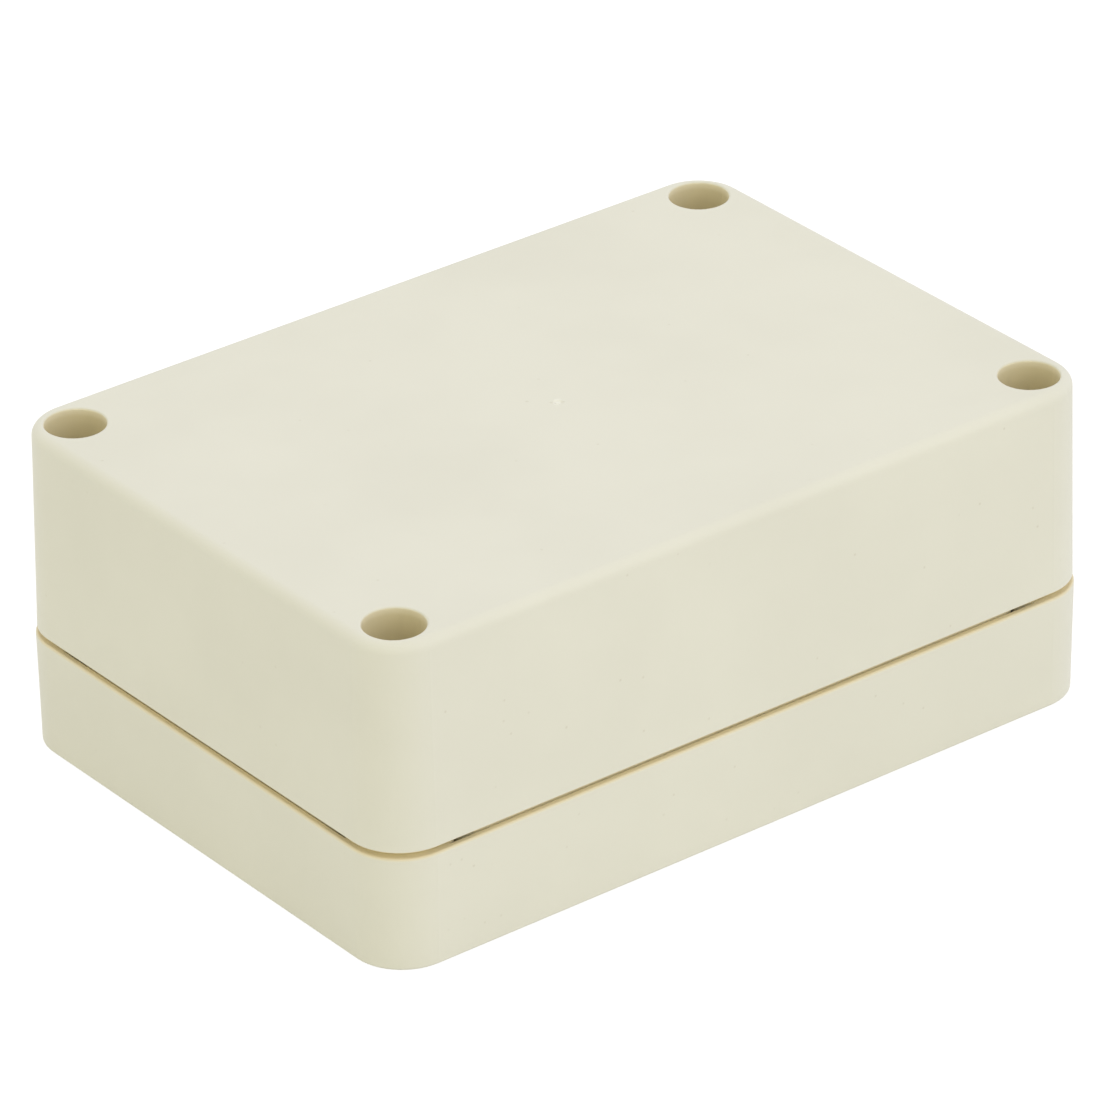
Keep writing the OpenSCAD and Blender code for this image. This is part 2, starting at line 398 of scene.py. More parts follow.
def spotted(tree, place, colour, spots, tone, soft, strength):
    """The colour with soft round spots of a tone on the cover's top."""
    for x, y, radius in spots:
        away = add(tree, "ShaderNodeVectorMath", {"operation": "DISTANCE"})
        join(tree, place, away.inputs[0])
        join(tree, (x * MM, y * MM, TOP_Z), away.inputs[1])
        ends = ((radius - soft) * MM, (radius + soft) * MM)
        share = ramp(tree, away.outputs["Value"], *ends, 1.0, 0.0)
        colour = blend_colour(tree, combine(tree, "MULTIPLY", share, strength), colour, tone)
    return colour


def gate_marked(tree, place, colour):
    """The colour with the gate's pale mark, partly painted light over its dimple, and its dark
    flecks.
    """
    colour = spotted(tree, place, colour, GATE, GATE_PALE_AND_LIGHT, soft=0.12, strength=0.5)
    return spotted(tree, place, colour, FLECKS, FLECK_DARK, soft=0.06, strength=0.3)

# %% [markdown]
# ## Painted warm shade in the joint and the wells
# ABS lets a little warm light through, and light thrown between cream walls warms at each bounce,
# so a narrow joint or a deep well lies in a warm shade, not a grey one. Real subsurface
# scattering would show it only faintly at this size and would be lost on export, so this warm
# shade and glow are painted into the colour where they are seen, by object place: how deep a
# point lies under the outer wall, how far it is from the nearest screw axis, and its height.
# Light that goes in behind the rim is thrown to and fro and deepens at each turn, so the tone
# painted there is lighter.

# %% Depth and distance
def under_wall(tree, across_x, across_y):
    """How deep a point lies under the rounded outer wall, up to the corner's radius."""
    past_x = combine(tree, "SUBTRACT", across_x, cad_high.x - CORNER_R)
    past_y = combine(tree, "SUBTRACT", across_y, cad_high.y - CORNER_R)
    past_x = combine(tree, "MAXIMUM", past_x, 0.0)
    past_y = combine(tree, "MAXIMUM", past_y, 0.0)
    return combine(tree, "SUBTRACT", CORNER_R, length_of(tree, past_x, past_y))


def from_screw(tree, across_x, across_y):
    """The distance from the nearest screw axis."""
    gap_x = combine(tree, "SUBTRACT", across_x, SCREW_X)
    gap_y = combine(tree, "SUBTRACT", across_y, SCREW_Y)
    return length_of(tree, gap_x, gap_y)

# %% Places of painted shade
# each pair of heights, depths or distances is where a fade starts and ends
OUTER_EDGE = (0.2 * MM, 0.4 * MM)
GROOVE_DEEP = 2.2 * MM
RIM_FADE = (RIM_Z - 0.3 * MM, RIM_Z + 0.02 * MM)
COVER_FADE = (JOINT_Z + 0.02 * MM, JOINT_Z + 0.12 * MM)
RING_FADE = (1.9 * MM, 2.8 * MM)
WELL_WALL = (3.0 * MM, 3.2 * MM)
WELL_MOUTH = (TOP_Z - 0.22 * MM, TOP_Z - 0.03 * MM)
WELL_FLOOR = (SEAT_Z - 0.2 * MM, SEAT_Z - 0.05 * MM)


def joint_shade_share(tree, depth, height):
    """Share of painted warm shade: 1 inside the joint and its groove, fading out over the rim and
    towards the inside.
    """
    inside = ramp(tree, depth, *OUTER_EDGE, 0.0, GROOVE_DEEP)
    low = ramp(tree, combine(tree, "ADD", height, inside), *RIM_FADE)
    high = ramp(tree, height, *COVER_FADE, 1.0, 0.0)
    ring = ramp(tree, depth, *RING_FADE, 1.0, 0.0)
    return combine(tree, "MULTIPLY", combine(tree, "MULTIPLY", low, high), ring)


def well_shade_share(tree, across_x, across_y, height):
    """Share of painted warm shade: 1 in a well, fading out over the rounding of its mouth."""
    near = ramp(tree, from_screw(tree, across_x, across_y), *WELL_WALL, 1.0, 0.0)
    below = ramp(tree, height, *WELL_MOUTH, 1.0, 0.0)
    above = ramp(tree, height, *WELL_FLOOR)
    return combine(tree, "MULTIPLY", combine(tree, "MULTIPLY", near, below), above)

# %% Painted shade and glow tones
# painted shade: warm tones where the rim ledge, the joint and the wells lie in shade; the
# lightest are painted glow for light thrown to and fro behind the rim and at the wells' mouths
RIM_SHADE_TAN = (0.81, 0.71, 0.49, 1)
JOINT_SHADE_TAN = (0.92, 0.84, 0.61, 1)
GROOVE_GLOW_TAN = (0.98, 0.94, 0.78, 1)
WELL_PAINTED_GLOW = (0.90, 0.83, 0.64, 1)
WELL_SHADE_TAN = (0.775, 0.695, 0.48, 1)
RIM_TO_JOINT = (0.25 * MM, 0.9 * MM)
BELOW_RIM = (RIM_Z - 0.3 * MM, RIM_Z - 0.1 * MM)
BEHIND_RIM = (0.7 * MM, 1.1 * MM)
WELL_DEPTHS = (TOP_Z - 0.95 * MM, TOP_Z - 0.2 * MM)


# paints warm shade and glow into the colour by object place; it is not a colour of the plastic
def painted_warm_shade(tree, colour, across_x, across_y, height):
    """The colour with warm shade and glow painted in the joint and in the wells."""
    depth = under_wall(tree, across_x, across_y)
    shade_tone = blend_colour(tree, ramp(tree, depth, *RIM_TO_JOINT), RIM_SHADE_TAN, JOINT_SHADE_TAN)
    low = ramp(tree, height, *BELOW_RIM, 1.0, 0.0)
    groove = combine(tree, "MULTIPLY", low, ramp(tree, depth, *BEHIND_RIM))
    shade_tone = blend_colour(tree, groove, shade_tone, GROOVE_GLOW_TAN)
    colour = blend_colour(tree, joint_shade_share(tree, depth, height), colour, shade_tone)
    deep = ramp(tree, height, *WELL_DEPTHS, 1.0, 0.0)
    well = blend_colour(tree, deep, WELL_PAINTED_GLOW, WELL_SHADE_TAN)
    return blend_colour(tree, well_shade_share(tree, across_x, across_y, height), colour, well)

# %% [markdown]
# ## The finish of the shells
# Here the colour layers meet in one material for both shells, so that cover and base match
# as two shots of the same resin do. The edges that turn from the top to the walls are rubbed
# by hands, so they are a touch glossier. They could be painted by hand, but the slope of the
# surface already tells where they are.

# %% Moulded plastic
PLASTIC_IOR = 1.46
BROAD_SCALE = 45.0
DULL_DRIFT = (0.25, 0.75)
DULL = (0.50, 0.58)
HANDLED = -0.05
OFF_WALL = (0.1, 0.35)
OFF_TOP = (0.8, 0.98)
PIT_SCALE, PIT_STRENGTH, PIT_DEPTH = 3600.0, 0.16, 0.02 * MM


def rounded_edges(tree):
    """1 where the surface turns from level to upright, and 0 on top and on the walls."""
    facing = add(tree, "ShaderNodeSeparateXYZ")
    join(tree, add(tree, "ShaderNodeNewGeometry").outputs["Normal"], facing.inputs[0])
    tilt = combine(tree, "ABSOLUTE", facing.outputs["Z"])
    off_top = ramp(tree, tilt, *OFF_TOP, 1.0, 0.0)
    return combine(tree, "MULTIPLY", ramp(tree, tilt, *OFF_WALL), off_top)


def moulded_plastic(name):
    """Cream ABS, finely pitted, with its specks, its gate mark and painted warm shade in its
    recesses.
    """
    made, tree, shader = new_finish(name)
    shader.inputs["IOR"].default_value = PLASTIC_IOR
    place, across_x, across_y, height = folded_place(tree)
    broad = noise(tree, place, BROAD_SCALE, detail=3.0, rough=0.55)
    colour = gate_marked(tree, place, specked_cream(tree, place, broad))
    colour = painted_warm_shade(tree, colour, across_x, across_y, height)
    join(tree, colour, shader.inputs["Base Color"])
    dull = ramp(tree, broad, *DULL_DRIFT, *DULL)
    handled = combine(tree, "MULTIPLY", rounded_edges(tree), HANDLED)
    join(tree, combine(tree, "ADD", dull, handled), shader.inputs["Roughness"])
    pits = noise(tree, place, PIT_SCALE, detail=2.0, rough=0.6)
    bumped(tree, shader, pits, PIT_STRENGTH, PIT_DEPTH)
    return made


cream = moulded_plastic("cream_abs")
for name in ("base_shell", "cover_shell"):
    nodes[name].data.materials.clear()
    nodes[name].data.materials.append(cream)
print(cream.name, "has", len(cream.node_tree.nodes), "nodes")

# %% [markdown]
# ## Steel and brass
# The screws are stainless and turned, and the inserts are brass cut with knurls. Turning
# leaves fine rings round each part's own axis. An anisotropic shader could smear the gloss
# round the axis, but the rings are real grooves, so the metals read the distance from the
# nearest screw axis and the height, and noise in those two presses them in. Handling and
# damp leave the metal patchy in colour and roughness.

# %% Metals
RING_SCALE, RING_STRENGTH, RING_DEPTH = 9000.0, 0.25, 0.01 * MM
RING_ROUGH = 0.08
PATCH_SCALE = 900.0
PATCH_DULL = (0.35, 0.7)
PATCH_WORN = (0.3, 0.7)
PATCH_ROUGH = 0.16


def turned_metal(name, bright, dull, worn):
    """Metal with turning rings and patches, worn to that roughness where it is brightest."""
    made, tree, shader = new_finish(name)
    shader.inputs["Metallic"].default_value = 1.0
    place, across_x, across_y, height = folded_place(tree)
    rings = add(tree, "ShaderNodeCombineXYZ")
    join(tree, from_screw(tree, across_x, across_y), rings.inputs[0])
    join(tree, height, rings.inputs[1])
    lines = noise(tree, rings.outputs[0], RING_SCALE, detail=1.0, rough=0.5)
    patch = noise(tree, place, PATCH_SCALE, detail=3.0, rough=0.6)
    colour = blend_colour(tree, ramp(tree, patch, *PATCH_DULL), bright, dull)
    join(tree, colour, shader.inputs["Base Color"])
    patchy = ramp(tree, patch, *PATCH_WORN, worn, worn + PATCH_ROUGH)
    ringed = combine(tree, "MULTIPLY", lines, RING_ROUGH)
    join(tree, combine(tree, "ADD", patchy, ringed), shader.inputs["Roughness"])
    bumped(tree, shader, lines, RING_STRENGTH, RING_DEPTH)
    return made


stainless = turned_metal(
    "turned_stainless", bright=(0.63, 0.62, 0.60, 1), dull=(0.49, 0.49, 0.49, 1), worn=0.24
)
brass = turned_metal(
    "cut_brass", bright=(0.80, 0.62, 0.31, 1), dull=(0.66, 0.47, 0.22, 1), worn=0.28
)
print("metals:", stainless.name, "and", brass.name)

# %% [markdown]
# ## Silicone and rubber
# The strip in the joint is pale silicone and the washers are black rubber. Both are soft,
# dull and slightly grained from their mould, and both gather dust. One recipe serves the
# two: only the colours and the size of the grain differ.

# %% Rubbers
DUST_SCALE = 260.0
DUST_SHOWS = (0.45, 0.75)
DUST_DULLS = (0.3, 0.7)
RUBBER_ROUGH = (0.58, 0.8)
GRAIN_STRENGTH, GRAIN_DEPTH = 0.3, 0.02 * MM


def soft_rubber(name, clean, dusty, grain):
    """A dull soft finish that goes from clean to dusty in patches."""
    made, tree, shader = new_finish(name)
    place = add(tree, "ShaderNodeTexCoord").outputs["Object"]
    dust = noise(tree, place, DUST_SCALE, detail=4.0, rough=0.6)
    colour = blend_colour(tree, ramp(tree, dust, *DUST_SHOWS), clean, dusty)
    join(tree, colour, shader.inputs["Base Color"])
    join(tree, ramp(tree, dust, *DUST_DULLS, *RUBBER_ROUGH), shader.inputs["Roughness"])
    grained = noise(tree, place, grain, detail=2.0, rough=0.6)
    bumped(tree, shader, grained, GRAIN_STRENGTH, GRAIN_DEPTH)
    return made


strip_silicone = soft_rubber(
    "strip_silicone", clean=(0.80, 0.78, 0.70, 1), dusty=(0.66, 0.64, 0.56, 1), grain=2400.0
)
washer_rubber = soft_rubber(
    "ring_rubber", clean=(0.030, 0.030, 0.032, 1), dusty=(0.065, 0.064, 0.062, 1), grain=3200.0
)
print("rubbers:", strip_silicone.name, "and", washer_rubber.name)

# %% [markdown]
# ## Recipes for the small hardware
# The screws, washers, inserts and strip all follow a rule: they are turned on a lathe, wound
# on a helix, or drawn along a path. Modelling them by hand would work once, but the rule is
# clearer as a Geometry Nodes tree with its sizes as named inputs. The helpers here open such
# a tree, close it with Realize Instances and Set Material, and run it once on a carrier
# object, so that what stays is a plain mesh with its doubles merged and its faces outwards.

# %% Open and close a tree
def open_tree(name, sizes):
    """A geometry tree with a Geometry input and one named input for each size."""
    tree = bpy.data.node_groups.new(name, "GeometryNodeTree")
    kinds = {int: "NodeSocketInt", float: "NodeSocketFloat", tuple: "NodeSocketVector"}
    face = tree.interface
    face.new_socket("Geometry", in_out="INPUT", socket_type="NodeSocketGeometry")
    for label, value in sizes.items():
        socket = face.new_socket(label, in_out="INPUT", socket_type=kinds[type(value)])
        socket.default_value = value
    face.new_socket("Geometry", in_out="OUTPUT", socket_type="NodeSocketGeometry")
    return tree, add(tree, "NodeGroupInput").outputs


def close_tree(tree, geometry, material):
    """Ends a tree: instances become real and take their material."""
    real = add(tree, "GeometryNodeRealizeInstances")
    coat = add(tree, "GeometryNodeSetMaterial", Material=material)
    join(tree, geometry, real.inputs[0])
    join(tree, real.outputs[0], coat.inputs["Geometry"])
    join(tree, coat.outputs[0], add(tree, "NodeGroupOutput").inputs[0])

# %% Run a tree
WELD_GAP = 0.004 * MM
SLIVER = 0.001 * MM


def closed_mesh(name, mesh):
    """Merges doubles, drops slivers and turns the faces outwards."""
    solid = bmesh.new()
    solid.from_mesh(mesh)
    bmesh.ops.remove_doubles(solid, verts=solid.verts, dist=WELD_GAP)
    bmesh.ops.dissolve_degenerate(solid, edges=solid.edges, dist=SLIVER)
    bmesh.ops.recalc_face_normals(solid, faces=solid.faces)
    open_edges = sum(1 for edge in solid.edges if len(edge.link_faces) != 2)
    solid.to_mesh(mesh)
    solid.free()
    print(name, "has", len(mesh.polygons), "faces and", open_edges, "open edges")
    return mesh


def run_tree(name, tree, points=(), edges=(), **sizes):
    """Runs a tree once on a carrier made of those points. Returns a plain mesh object."""
    start = bpy.data.meshes.new(name + "_start")
    start.from_pydata(points, edges, [])
    piece = bpy.data.objects.new(name, start)
    bpy.context.scene.collection.objects.link(piece)
    modifier = piece.modifiers.new("form", "NODES")
    modifier.node_group = tree
    for item in tree.interface.items_tree:
        label = item.name.replace(" ", "_").lower()
        if item.in_out == "INPUT" and label in sizes:
            modifier[item.identifier] = sizes[label]
    graph = bpy.context.evaluated_depsgraph_get()
    mesh = bpy.data.meshes.new_from_object(piece.evaluated_get(graph))
    piece.modifiers.clear()
    piece.data = closed_mesh(name, mesh)
    return piece

# %% [markdown]
# ## The lathe
# A turned part is one outline spun round an axis. Spin would do it, but the lathe below is
# reused for screw heads, washers and inserts: a grid is bent round the axis, and each of its
# rows takes radius and height from one point of the outline that the carrier holds.

# %% Grids and places
def polar(tree, radius, turn, height):
    """A position from radius, angle and height sockets."""
    made = add(tree, "ShaderNodeCombineXYZ")
    join(tree, combine(tree, "MULTIPLY", radius, combine(tree, "COSINE", turn)), made.inputs[0])
    join(tree, combine(tree, "MULTIPLY", radius, combine(tree, "SINE", turn)), made.inputs[1])
    join(tree, height, made.inputs[2])
    return made.outputs[0]


def grid_of(tree, across, along):
    """A grid of that many points with sockets for its two places, each from 0 to 1."""
    grid = add(tree, "GeometryNodeMeshGrid", Size_X=1.0, Size_Y=1.0)
    join(tree, across, grid.inputs["Vertices X"])
    join(tree, along, grid.inputs["Vertices Y"])
    place = add(tree, "ShaderNodeSeparateXYZ")
    join(tree, add(tree, "GeometryNodeInputPosition").outputs[0], place.inputs[0])
    share = [combine(tree, "ADD", place.outputs[axis], 0.5) for axis in range(2)]
    return grid.outputs["Mesh"], share


def put(tree, mesh, position):
    """Moves each point of a mesh to its position."""
    made = add(tree, "GeometryNodeSetPosition")
    join(tree, mesh, made.inputs["Geometry"])
    join(tree, position, made.inputs["Position"])
    return made.outputs[0]


def moved(tree, geometry, place=(0.0, 0.0, 0.0), turn=(0.0, 0.0, 0.0)):
    """Turns a geometry round the origin and moves it."""
    made = add(tree, "GeometryNodeTransform")
    join(tree, geometry, made.inputs["Geometry"])
    join(tree, place, made.inputs["Translation"])
    join(tree, turn, made.inputs["Rotation"])
    return made.outputs[0]

# %% Lathe
def outline_points(*corners):
    """Outline points for the lathe from radius and height in mm, and kind, which rides in Y."""
    return [(radius * MM, kind[0] if kind else 0.0, height * MM)
            for radius, height, *kind in corners]


def spun(tree, outline, segments, change=None):
    """The outline's points spun round Z. change may add to the radius."""
    count = add(tree, "GeometryNodeAttributeDomainSize", {"component": "MESH"})
    join(tree, outline, count.inputs[0])
    rows = count.outputs["Point Count"]
    mesh, (round_share, along) = grid_of(tree, combine(tree, "ADD", segments, 1.0), rows)
    last = combine(tree, "SUBTRACT", rows, 1.0)
    row = combine(tree, "ROUND", combine(tree, "MULTIPLY", along, last))
    look = add(tree, "GeometryNodeSampleIndex", {"data_type": "FLOAT_VECTOR", "domain": "POINT"})
    join(tree, outline, look.inputs["Geometry"])
    join(tree, add(tree, "GeometryNodeInputPosition").outputs[0], look.inputs["Value"])
    join(tree, row, look.inputs["Index"])
    point = add(tree, "ShaderNodeSeparateXYZ")
    join(tree, look.outputs[0], point.inputs[0])
    radius, kind, height = point.outputs
    turn = combine(tree, "MULTIPLY", round_share, math.tau)
    if change:
        radius = combine(tree, "ADD", radius, change(turn, kind, height))
    return put(tree, mesh, polar(tree, radius, turn, height))

# %% [markdown]
# ## The screw washers
# Each screw sits on a flat rubber ring that also keeps it in its well when the cover is off.
# A torus would be too round and a flat ring too stiff: squeezed rubber bulges, so the ring's
# outline is flat on both faces and widest halfway up. The lathe turns it, and runs once per
# corner, because each washer is a body of its own.

# %% Washer tree
HOLE_R = 1.56  # in mm, as every size of an outline
washer_low, washer_high = boxes["screw_washer_back_right"]
THICK = (washer_high.z - washer_low.z) / MM
WIDE = (washer_high.x - washer_low.x) / 2 / MM
ring = outline_points(
    (HOLE_R + 0.02, 0.10), (HOLE_R + 0.12, 0.0), (WIDE - 0.30, 0.0), (WIDE - 0.14, 0.05),
    (WIDE - 0.04, 0.18), (WIDE, THICK / 2), (WIDE - 0.04, THICK - 0.18),
    (WIDE - 0.14, THICK - 0.05), (WIDE - 0.30, THICK), (HOLE_R + 0.12, THICK),
    (HOLE_R + 0.02, THICK - 0.10), (HOLE_R, THICK / 2), (HOLE_R + 0.02, 0.10),
)
washer_tree, given = open_tree("turned_washer", {"Segments": 64, "Place": (0.0, 0.0, 0.0)})
turned_ring = spun(washer_tree, given["Geometry"], given["Segments"])
close_tree(washer_tree, moved(washer_tree, turned_ring, place=given["Place"]), washer_rubber)
print("washer is", round(THICK, 2), "mm thick and", round(2 * WIDE, 2), "mm wide")

# %% Washers
SHARP_ANGLE = math.radians(38)


def dress(piece, body, slot, *replaced):
    """Shades a finished piece smooth, hands it to its body and hides the nodes it stands for.
    slot is not used.
    """
    piece.data.polygons.foreach_set("use_smooth", [True] * len(piece.data.polygons))
    piece.data.set_sharp_from_angle(angle=SHARP_ANGLE)
    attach(piece, body)
    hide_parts(*replaced)


def floor_centre(name):
    """The middle of a node's box, at its lowest height."""
    low, high = boxes[name]
    return ((low.x + high.x) / 2, (low.y + high.y) / 2, low.z)


for corner in CORNERS:
    node = "screw_washer_" + corner
    washer = run_tree("washer_" + corner, washer_tree, ring, place=floor_centre(node))
    dress(washer, "washer_" + corner, "washer_rubber", node)

# %% [markdown]
# ## The cover screws
# A cheese-head machine screw: a rolled thread with a pitch of half a millimetre, and a head
# with a crossed recess. The Screw modifier could wind a thread, but it leaves both ends open.
# Here the thread is a sheet wrapped round the axis whose rows climb one pitch per turn, so
# its crests are true helices, and it is clamped flat at both ends. The head is turned on the
# lathe, and three tapered cutters sink the recess.

# %% Thread helpers
ROD_SIDES = 32


def ramp_number(tree, source, low, high):
    """A number remapped in a straight line from low..high to 0..1, and held there."""
    made = add(tree, "ShaderNodeMapRange")
    made.inputs["From Min"].default_value = low
    made.inputs["From Max"].default_value = high
    join(tree, source, made.inputs["Value"])
    return made.outputs["Result"]


def disc(tree, radius):
    """A flat disc with the same corners as the rod."""
    made = add(tree, "GeometryNodeMeshCircle", {"fill_type": "NGON"}, Vertices=ROD_SIDES)
    join(tree, radius, made.inputs["Radius"])
    return made.outputs[0]


def upward(tree, height):
    """A vector straight up."""
    made = add(tree, "ShaderNodeCombineXYZ")
    join(tree, height, made.inputs[2])
    return made.outputs[0]


def merged(tree, *meshes):
    """Joins meshes in one geometry."""
    made = add(tree, "GeometryNodeJoinGeometry")
    for mesh in meshes:
        join(tree, mesh, made.inputs[0])
    return made.outputs[0]

# %% Thread
PITCH = 0.5 * MM
ROWS_A_TURN = 6
FLANK = (0.08, 0.42)  # where a flank starts and ends, in pitches from the middle of the root
TIP_INSET = 0.2 * MM
LEAD_SLOPE = 0.9
RUNOUT = 0.3 * MM
BURIED = 0.3 * MM  # how far the rod goes into the head


def ridge(tree, wraps, left):
    """The thread's height from root to crest, 0 to 1, running out near the head."""
    phase = combine(tree, "SUBTRACT", combine(tree, "FRACT", wraps), 0.5)
    flank = ramp_number(tree, combine(tree, "ABSOLUTE", phase), *FLANK)
    return combine(tree, "MULTIPLY", flank, ramp_number(tree, left, 0.0, RUNOUT))


def wound(tree, length, crest, root, pitch, turns):
    """A closed threaded rod from z = 0 up, with a short lead at its tip."""
    rows = combine(tree, "ADD", combine(tree, "MULTIPLY", turns, ROWS_A_TURN), 1.0)
    mesh, (round_share, along) = grid_of(tree, ROD_SIDES + 1, rows)
    wraps = combine(tree, "MULTIPLY", along, turns)
    climb = combine(tree, "ADD", combine(tree, "SUBTRACT", wraps, 1.0), round_share)
    climb = combine(tree, "MULTIPLY", climb, pitch)
    end = combine(tree, "ADD", length, BURIED)
    height = combine(tree, "MINIMUM", combine(tree, "MAXIMUM", climb, 0.0), end)
    proud = ridge(tree, wraps, combine(tree, "SUBTRACT", end, height))
    proud = combine(tree, "MULTIPLY", proud, combine(tree, "SUBTRACT", crest, root))
    tip = combine(tree, "SUBTRACT", root, TIP_INSET)
    lead = combine(tree, "ADD", combine(tree, "MULTIPLY", height, LEAD_SLOPE), tip)
    radius = combine(tree, "MINIMUM", combine(tree, "ADD", root, proud), lead)
    turn = combine(tree, "MULTIPLY", round_share, math.tau)
    rod = put(tree, mesh, polar(tree, radius, turn, height))
    top = moved(tree, disc(tree, root), place=upward(tree, end))
    return merged(tree, rod, disc(tree, tip), top)

# %% Crossed recess
RECESS_DEEP = 1.15 * MM
BLADE_WIDE = 3.0 * MM
BLADE_THICK = 0.56 * MM
BLADE_FOOT = 0.55  # the width at the bottom, as a share of the top's
BLADE_SUNK = 0.8  # the share of a blade that goes into the head
CONE_TOP, CONE_FOOT = 0.98 * MM, 0.3 * MM
CONE_TALL = 1.2  # as a share of the recess's depth


def blade(tree, depth, turn):
    """A cutter that narrows downwards, from just above z = 0 down to -depth."""
    block = add(tree, "GeometryNodeMeshCube", Size=(1.0, 1.0, 1.0))
    corner = add(tree, "ShaderNodeSeparateXYZ")
    join(tree, add(tree, "GeometryNodeInputPosition").outputs[0], corner.inputs[0])
    rise = combine(tree, "ADD", corner.outputs[2], 0.5)
    narrow = combine(tree, "MULTIPLY", rise, 1.0 - BLADE_FOOT)
    narrow = combine(tree, "ADD", narrow, BLADE_FOOT)
    wide = combine(tree, "MULTIPLY", corner.outputs[0], BLADE_WIDE)
    sunk = combine(tree, "SUBTRACT", rise, BLADE_SUNK)
    place = add(tree, "ShaderNodeCombineXYZ")
    join(tree, combine(tree, "MULTIPLY", wide, narrow), place.inputs[0])
    join(tree, combine(tree, "MULTIPLY", corner.outputs[1], BLADE_THICK), place.inputs[1])
    join(tree, combine(tree, "MULTIPLY", sunk, depth / BLADE_SUNK), place.inputs[2])
    return moved(tree, put(tree, block.outputs["Mesh"], place.outputs[0]), turn=(0.0, 0.0, turn))


def recessed(tree, head, top, depth):
    """Sinks a crossed recess into the head's top."""
    cone = add(
        tree, "GeometryNodeMeshCone", Vertices=24, Radius_Top=CONE_TOP, Radius_Bottom=CONE_FOOT,
        Depth=depth * CONE_TALL,
    )
    cutters = [moved(tree, cone.outputs["Mesh"], place=(0.0, 0.0, -depth))]
    cutters += [blade(tree, depth, math.radians(a)) for a in (0, 90)]
    for cutter in cutters:
        cut = add(tree, "GeometryNodeMeshBoolean", {"operation": "DIFFERENCE", "solver": "EXACT"})
        join(tree, head, cut.inputs["Mesh 1"])
        join(tree, moved(tree, cutter, place=upward(tree, top)), cut.inputs["Mesh 2"])
        head = cut.outputs["Mesh"]
    return head

# %% Screw tree
HEAD_H = 2.0 * MM
SCREW_L = screw_high.z - screw_low.z - HEAD_H
screw_tree, given = open_tree("cover_screw", {
    "Length": SCREW_L, "Crest Radius": 1.5 * MM, "Root Radius": 1.24 * MM, "Pitch": PITCH,
    "Turns": math.ceil(SCREW_L / PITCH) + 3, "Head Segments": 64,
    "Place": (0.0, 0.0, 0.0), "Turn": (0.0, 0.0, 0.0),
})
rod = wound(
    screw_tree, given["Length"], given["Crest Radius"], given["Root Radius"], given["Pitch"],
    given["Turns"],
)
blank = spun(screw_tree, given["Geometry"], given["Head Segments"])
weld = add(screw_tree, "GeometryNodeMergeByDistance", Distance=WELD_GAP)
join(screw_tree, blank, weld.inputs["Geometry"])
turned_head = recessed(screw_tree, weld.outputs[0], HEAD_H, RECESS_DEEP)
raised_head = moved(screw_tree, turned_head, place=upward(screw_tree, given["Length"]))
whole = merged(screw_tree, rod, raised_head)
close_tree(
    screw_tree, moved(screw_tree, whole, place=given["Place"], turn=given["Turn"]), stainless
)
print("screw is", round(SCREW_L / MM, 2), "mm long under its head")

# %% Cover screws and their heads
LEFT_AT = (18.0, 71.0, 44.0, 5.0)  # degrees at which each screw came to rest
head = outline_points(
    (0.0, 0.0), (2.45, 0.0), (2.56, 0.04), (2.6, 0.14), (2.6, 1.42), (2.57, 1.60),
    (2.48, 1.76), (2.33, 1.88), (2.12, 1.96), (1.6, 1.99), (0.0, 2.0),
)
for corner, degrees in zip(CORNERS, LEFT_AT):
    node = "cover_screw_" + corner
    turn = (0.0, 0.0, math.radians(degrees))
    screw = run_tree("screw_" + corner, screw_tree, head, place=floor_centre(node), turn=turn)
    dress(screw, "screw_" + corner, "screw_steel", node)

# %% [markdown]
# ## The thread inserts
# Four brass inserts are pressed into the base while it is warm, and two bands of crossed
# knurls keep them from turning. A bump could draw the knurls, but they grip because they
# stand out, so they are cut into the mesh. The outline carries a second number, its kind, in
# Y: 1 marks the bands, where the lathe cuts the knurls, and 2 marks the bore, where it cuts
# the thread. One insert is made and instanced on the four corners of a plain grid, each at
# its own turn.

# %% Insert outline
BAND, BORE = 1.0, 2.0
insert_low, insert_high = boxes["thread_insert_back_right"]
INSERT_L = (insert_high.z - insert_low.z) / MM
INSERT_R = (insert_high.x - insert_low.x) / 2 / MM
WAIST_R = INSERT_R - 0.3
BORE_R = 1.56


def stepped(radius, start, stop, step, kind):
    """Outline points along a straight run."""
    count = max(1, round(abs(stop - start) / step))
    return [(radius, start + (stop - start) * i / count, kind) for i in range(count + 1)]


insert_outline = outline_points(
    (INSERT_R - 0.25, 0.0), *stepped(INSERT_R, 0.3, INSERT_L * 0.4, 0.12, BAND),
    (WAIST_R, INSERT_L * 0.45), (WAIST_R, INSERT_L * 0.57),
    *stepped(INSERT_R, INSERT_L * 0.62, INSERT_L - 0.25, 0.12, BAND),
    (INSERT_R - 0.1, INSERT_L - 0.05), (INSERT_R - 0.2, INSERT_L), (BORE_R + 0.29, INSERT_L),
    *stepped(BORE_R, INSERT_L - 0.3, 0.1, 0.1, BORE), (BORE_R + 0.19, 0.0),
    (INSERT_R - 0.25, 0.0),
)
print("insert outline has", len(insert_outline), "points")

# %% Knurls and thread
TEETH = 24
KNURL_LEAN = 1.6 * MM  # the height over which a cut turns by one radian
KNURL_EDGE = 0.45
KNURL_DEEP = 0.16 * MM
BORE_CUT = 0.3 * MM


